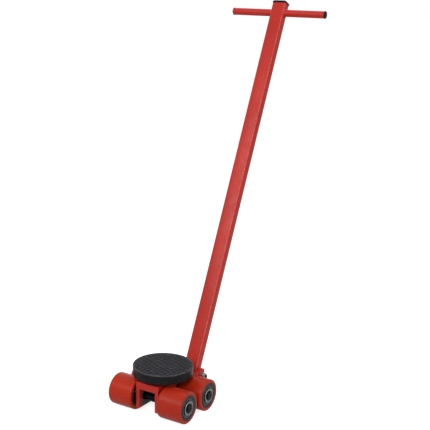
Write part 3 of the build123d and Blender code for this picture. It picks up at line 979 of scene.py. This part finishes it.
# ---------------------------------------------------------------- hinge
def make_bolt(node, thread_start):
    """Hexagon bolt with its head to the left and a threaded end to the right."""
    head_face, end = low(node).x, high(node).x
    head_seat = head_face + BOLT_HEAD
    flats = hexagon(HEX_FLATS)
    thread = []
    station = end - BOLT_CHAMFER
    while station > thread_start:
        thread.append((station, BOLT_RADIUS, 0.0))
        thread.append((station - THREAD_PITCH / 2, BOLT_RADIUS - THREAD_DEPTH, 0.0))
        station -= THREAD_PITCH
    bolt = [
        (head_face, 0, 0.0),
        (head_face, HEX_CROWN, 1.0),
        (chamfered(head_face, -1, HEX_FLATS, HEX_CROWN), flats, 1.0),
        (head_seat - BOLT_HEAD_FOOT, flats, 0.0),
        (head_seat, lambda angle: flats(angle) - BOLT_HEAD_FOOT, 0.5),
        (head_seat, BOLT_RADIUS, 0.0),
        *reversed(thread),
        (end, BOLT_RADIUS - BOLT_CHAMFER, 1.0),
        (end, 0, 0.0),
    ]
    lathe(node, bolt, sharp=HEX_SHARP_ANGLE)


def make_nut(node, bore):
    """Lock nut to the right, with a round collar that holds its nylon ring."""
    seat, end = low(node).x, high(node).x
    shoulder = seat + NUT_HEIGHT
    flats = hexagon(HEX_FLATS)
    collar_bore = NUT_COLLAR_RADIUS - NUT_COLLAR_WALL
    nut = [
        (seat, bore, 0.0),
        (seat, HEX_CROWN, 1.0),
        (chamfered(seat, -1, HEX_FLATS, HEX_CROWN), flats, 1.0),
        (chamfered(shoulder, 1, HEX_FLATS, HEX_CROWN), flats, 1.0),
        (shoulder, HEX_CROWN, 1.0),
        (shoulder + EDGE_ROUND, NUT_COLLAR_RADIUS, 0.0),
        (end - NUT_COLLAR_TAPER, NUT_COLLAR_RADIUS, 0.0),
        (end - NUT_COLLAR_LIP, NUT_COLLAR_RADIUS - NUT_COLLAR_LIP_INSET, 1.0),
        (end, collar_bore, 1.0),
        (shoulder, collar_bore, 0.0),
        (shoulder, bore, 0.0),
    ]
    lathe(node, nut, sharp=HEX_SHARP_ANGLE)


def make_hinge():
    """Bolt, lock nut with its nylon ring, washers and sleeve."""
    bore = BOLT_RADIUS + RUNNING_GAP
    make_bolt("hinge_bolt", high("hinge_bolt_washers").x)
    make_nut("hinge_nut", bore)

    insert, sleeve = "hinge_nut_insert", "hinge_sleeve"
    insert_bore = BOLT_RADIUS + 2 * RUNNING_GAP
    insert_outer, sleeve_outer = radius_along_x(insert), radius_along_x(sleeve)
    lathe(insert, ring_section(low(insert).x, high(insert).x, insert_bore, insert_outer, INSERT_ROUND))

    thicknesses = {"hinge_bolt_washers": BOLT_WASHER, "hinge_friction_washers": FRICTION_WASHER}
    for node, thickness in thicknesses.items():
        outside = high(node).x
        lathe(node, *ring_pair(outside - thickness, outside, bore, radius_along_x(node)))

    lathe(sleeve, ring_section(low(sleeve).x, high(sleeve).x, bore, sleeve_outer, SLEEVE_ROUND))


# ---------------------------------------------------------------- drawbar
def add_leaning(node, build):
    """Adds a piece built upright from the hinge axis, leaned back as the drawbar is."""
    lean = Matrix.Translation(middle("hinge_sleeve")) @ Matrix.Rotation(-DRAWBAR_LEAN, 4, "X")
    build.transform(lean)
    add_replacement(node, build)


def tube_loop(height, inset, mark=0.0):
    """A loop round the tube, inset from its outside."""
    corner = TUBE_CORNER - min(inset, TUBE_CORNER - TUBE_INNER_CORNER)
    return (mark, rounded_rectangle(TUBE_WIDTH - 2 * inset, TUBE_DEPTH - 2 * inset, corner, height))


def corner_share(point):
    """How far a point of the tube lies round a corner: 0 on a flat, 1 in the corner's middle."""
    across = abs(point.x) - TUBE_WIDTH / 2 + TUBE_CORNER
    deep = abs(point.y) - TUBE_DEPTH / 2 + TUBE_CORNER
    return max(0.0, min(1.0, 2 * min(across, deep) / TUBE_CORNER))


def make_drawbar_tube(node):
    """Rectangular tube with round corners, marked along them for a painted highlight line, and soft cut
    ends.
    """
    start, end = -TUBE_BELOW_HINGE, TUBE_ABOVE_HINGE
    soft = EDGE_ROUND
    loops = [tube_loop(start + soft, 0), tube_loop(start + 3 * soft, 0)]
    for step in range(1, int((end - start) // TUBE_SPACING) + 1):
        loops.append(tube_loop(start + step * TUBE_SPACING, 0))
    loops += [
        tube_loop(end - soft, 0),
        tube_loop(end, soft, 1.0),
        tube_loop(end, TUBE_WALL - soft),
        tube_loop(end - soft, TUBE_WALL),
        tube_loop(start + soft, TUBE_WALL),
        tube_loop(start, TUBE_WALL - soft, 1.0),
        tube_loop(start, soft, 1.0),
    ]
    build = bmesh.new()
    loft(build, loops, closed=True)
    layer = edge_layer(build)
    # mark the round corners, so the paint draws a painted highlight along them
    for vertex in build.verts:
        vertex[layer] = max(vertex[layer], corner_share(vertex.co))
    add_leaning(node, build)


def cap_loop(height, inset=0.0, mark=0.0):
    """A loop round the tube's cap, inset from its flange's outside."""
    width = TUBE_WIDTH + 2 * CAP_OVERHANG - 2 * inset
    depth = TUBE_DEPTH + 2 * CAP_OVERHANG - 2 * inset
    return (mark, rounded_rectangle(width, depth, TUBE_CORNER + CAP_OVERHANG, height))


def dome_loop(base, step):
    """A loop of the low dome on the tube's cap, from its flange at step 0 to its crown."""
    angle = math.pi / 2 * step / DOME_STEPS
    fall = 1 - math.cos(angle)
    width = (TUBE_WIDTH + 2 * CAP_OVERHANG) * (1 - (1 - CROWN_WIDTH_RATIO) * fall)
    depth = (TUBE_DEPTH + 2 * CAP_OVERHANG) * (1 - (1 - CROWN_DEPTH_RATIO) * fall)
    corner = TUBE_CORNER + CAP_OVERHANG * (1 - fall)
    mark = 0.6 if step < 2 else 0.0
    return (mark, rounded_rectangle(width, depth, corner, base + CAP_DOME * math.sin(angle)))


def make_tube_cap(node):
    """Moulded cap: a rounded flange on the tube's end and a low dome."""
    base = TUBE_ABOVE_HINGE
    flange = base + CAP_FLANGE
    loops = [
        cap_loop(base, CAP_FOOT_INSET),
        cap_loop(base, EDGE_ROUND),
        cap_loop(base + EDGE_ROUND, mark=1.0),
        cap_loop(flange - 2 * EDGE_ROUND),
    ]
    loops += [dome_loop(flange, step) for step in range(DOME_STEPS + 1)]
    build = bmesh.new()
    loft(build, loops)
    add_leaning(node, build)


def make_crossbar(bar):
    """Round tube across the drawbar's end, with a moulded cap in each end."""
    radius = radius_along_x(bar)
    bore = radius - CROSSBAR_WALL
    start, end = low(bar).x, high(bar).x
    lathe(bar, ring_section(start, end, bore, radius, EDGE_ROUND))
    for side_name, side in SIDES.items():
        cap = f"{bar}_cap_{side_name}"
        cap_radius = radius_along_x(cap)
        face = high(cap).x if side > 0 else low(cap).x
        plug_end = low(cap).x if side > 0 else high(cap).x
        plug = section(
            (plug_end, 0),
            (plug_end, bore - PLUG_GAP),
            (side * end, bore - PLUG_GAP),
            (side * end, cap_radius),
            (face - side * EDGE_ROUND, cap_radius, PLUG_ROUND),
            (face, PLUG_FACE_RATIO * cap_radius, PLUG_FACE_ROUND),
            (face, 0),
        )
        lathe(cap, plug)


# ---------------------------------------------------------------- weld beads
def add_ring_welds(name, node, radius):
    """A bead round each side of a round piece, where it meets the tube."""
    build = bmesh.new()
    reach = radius_along_x(node) + BEAD_SINK * radius
    for side in SIDES.values():
        x = side * TUBE_WIDTH / 2
        path = [Vector((x, reach * cosine, reach * sine)) for cosine, sine in circle(RING_BEAD_STEPS)]
        bead(build, path, True, radius)
    add_piece(name, build, "red_paint", "drawbar", Matrix.Translation(middle(node)))


def add_frame_welds(name):
    """Beads inside the frame, under the top plate, before and behind the kingpin's washer."""
    build = bmesh.new()
    start = radius_along_z("kingpin_washer") - PLATE_BEAD_INSET
    end = high("top_plate").y - PLATE_BEAD_INSET
    for side_name, side in SIDES.items():
        plate = f"side_plate_{side_name}"
        inner_x = low(plate).x if side > 0 else high(plate).x
        for way in (-1, 1):
            path = []
            for step in range(PLATE_BEAD_STEPS + 1):
                y = way * (start + (end - start) * step / PLATE_BEAD_STEPS)
                path.append(Vector((inner_x, y, high(plate).z)))
            bead(build, path, False)
    welds = add_piece(name, build, "red_paint", "frame")
    welds.data.materials[0] = FRAME_RED


# ---------------------------------------------------------------- camera, floor and light
def make_camera():
    """A camera in front and to the right, a little above the base."""
    azimuth, elevation = CAMERA_AZIMUTH, CAMERA_ELEVATION
    level_forward = Vector((-math.sin(azimuth), math.cos(azimuth), 0))
    forward = level_forward * math.cos(elevation) - Vector((0, 0, math.sin(elevation)))
    level = Vector((math.cos(azimuth), math.sin(azimuth), 0))
    upright = level.cross(forward)
    right = math.cos(CAMERA_ROLL) * level + math.sin(CAMERA_ROLL) * upright
    up = math.cos(CAMERA_ROLL) * upright - math.sin(CAMERA_ROLL) * level
    data = bpy.data.cameras.new("camera")
    data.lens = CAMERA_LENS
    data.sensor_width = SENSOR_WIDTH
    camera = bpy.data.objects.new("camera", data)
    turn = Matrix((right, up, -forward)).transposed().to_4x4()
    camera.matrix_world = Matrix.Translation(CAMERA_AIM - forward * CAMERA_DISTANCE) @ turn
    bpy.context.scene.collection.objects.link(camera)
    bpy.context.scene.camera = camera


def seen_by(tree, *rays):
    """1 for the kinds of ray that are named, 0 for the rays that light the object."""
    path = tree.nodes.new("ShaderNodeLightPath")
    total = path.outputs[rays[0]]
    for output in rays[1:]:
        larger = tree.nodes.new("ShaderNodeMath")
        larger.operation = "MAXIMUM"
        tree.links.new(total, larger.inputs[0])
        tree.links.new(path.outputs[output], larger.inputs[1])
        total = larger.outputs["Value"]
    return total


def make_world():
    """Even soft light from all round, and a white surround to look at."""
    world = bpy.data.worlds.new("studio")
    bpy.context.scene.world = world
    world.use_nodes = True
    tree = world.node_tree
    mix = tree.nodes.new("ShaderNodeMix")
    mix.data_type = "RGBA"
    mix.inputs[MIX_UNDER].default_value = (*WORLD_LIGHT, 1)
    mix.inputs[MIX_OVER].default_value = (1, 1, 1, 1)
    seen = seen_by(tree, "Is Camera Ray", "Is Glossy Ray", "Is Transmission Ray")
    tree.links.new(seen, mix.inputs["Factor"])
    tree.links.new(mix.outputs[MIX_RESULT], tree.nodes["Background"].inputs["Color"])


def make_floor():
    """A pale floor that keeps the object's shadow and meets the white surround."""
    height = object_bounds()[0].z - FLOOR_GAP
    bpy.ops.mesh.primitive_plane_add(size=FLOOR_SIZE, location=(0, 0, height))
    floor = bpy.context.object
    floor.name = "floor"
    made = Shader("floor", FLOOR_COLOUR, 0.9, specular=0.0)
    made.tint(made.span(made.noise(3.0), 0.3, 0.7, 0, 1), FLOOR_DRIFT)
    looked_at = made.math("MULTIPLY", seen_by(made.tree, "Is Camera Ray"), FLOOR_GLOW)
    mirrored_in = seen_by(made.tree, "Is Glossy Ray", "Is Transmission Ray")
    mirrored_glow = made.math("MULTIPLY", mirrored_in, FLOOR_MIRRORED_GLOW)
    glow = made.math("ADD", looked_at, mirrored_glow)
    made.surface.inputs["Emission Color"].default_value = (1, 1, 1, 1)
    made.link(glow, made.surface.inputs["Emission Strength"])
    floor.data.materials.append(made.material)


def make_light(name, place, target, size, power):
    """A soft box, its width and height given, that points at a target."""
    data = bpy.data.lights.new(name, "AREA")
    data.shape = "RECTANGLE"
    data.size, data.size_y = size
    data.energy = power
    lamp = bpy.data.objects.new(name, data)
    facing = (Vector(target) - Vector(place)).to_track_quat("-Z", "Y")
    lamp.matrix_world = Matrix.Translation(place) @ facing.to_matrix().to_4x4()
    bpy.context.scene.collection.objects.link(lamp)


# ---------------------------------------------------------------- the scene
dress_cad()
for row_name in AXLE_ROWS:
    make_axle(row_name)
    for side_name in SIDES:
        make_roller(f"{row_name}_{side_name}")
make_turntable()
make_load_pad("load_pad")
make_hinge()
make_drawbar_tube("drawbar_tube")
make_tube_cap("tube_cap")
make_crossbar("crossbar")
add_ring_welds("crossbar_welds", "crossbar", CROSSBAR_BEAD_RADIUS)
add_ring_welds("sleeve_welds", "hinge_sleeve", SLEEVE_BEAD_RADIUS)
add_frame_welds("frame_welds")

bpy.context.scene.view_settings.view_transform = "Standard"
make_camera()
make_world()
make_floor()
make_light("key", (-1.15, -2.15, 2.0), target=(0, 0.1, 0.2), size=(1.2, 1.2), power=19)
make_light("front", (0.98, -2.3, 1.75), target=(0, 0.1, 0.35), size=(0.4, 1.1), power=33)
make_light("side", (2.5, 0.1, 1.1), target=(0, 0.2, 0.35), size=(1.2, 1.2), power=11)
make_light("top", (0.2, 0.3, 2.8), target=(0, 0.1, 0.0), size=(1.6, 1.6), power=16)
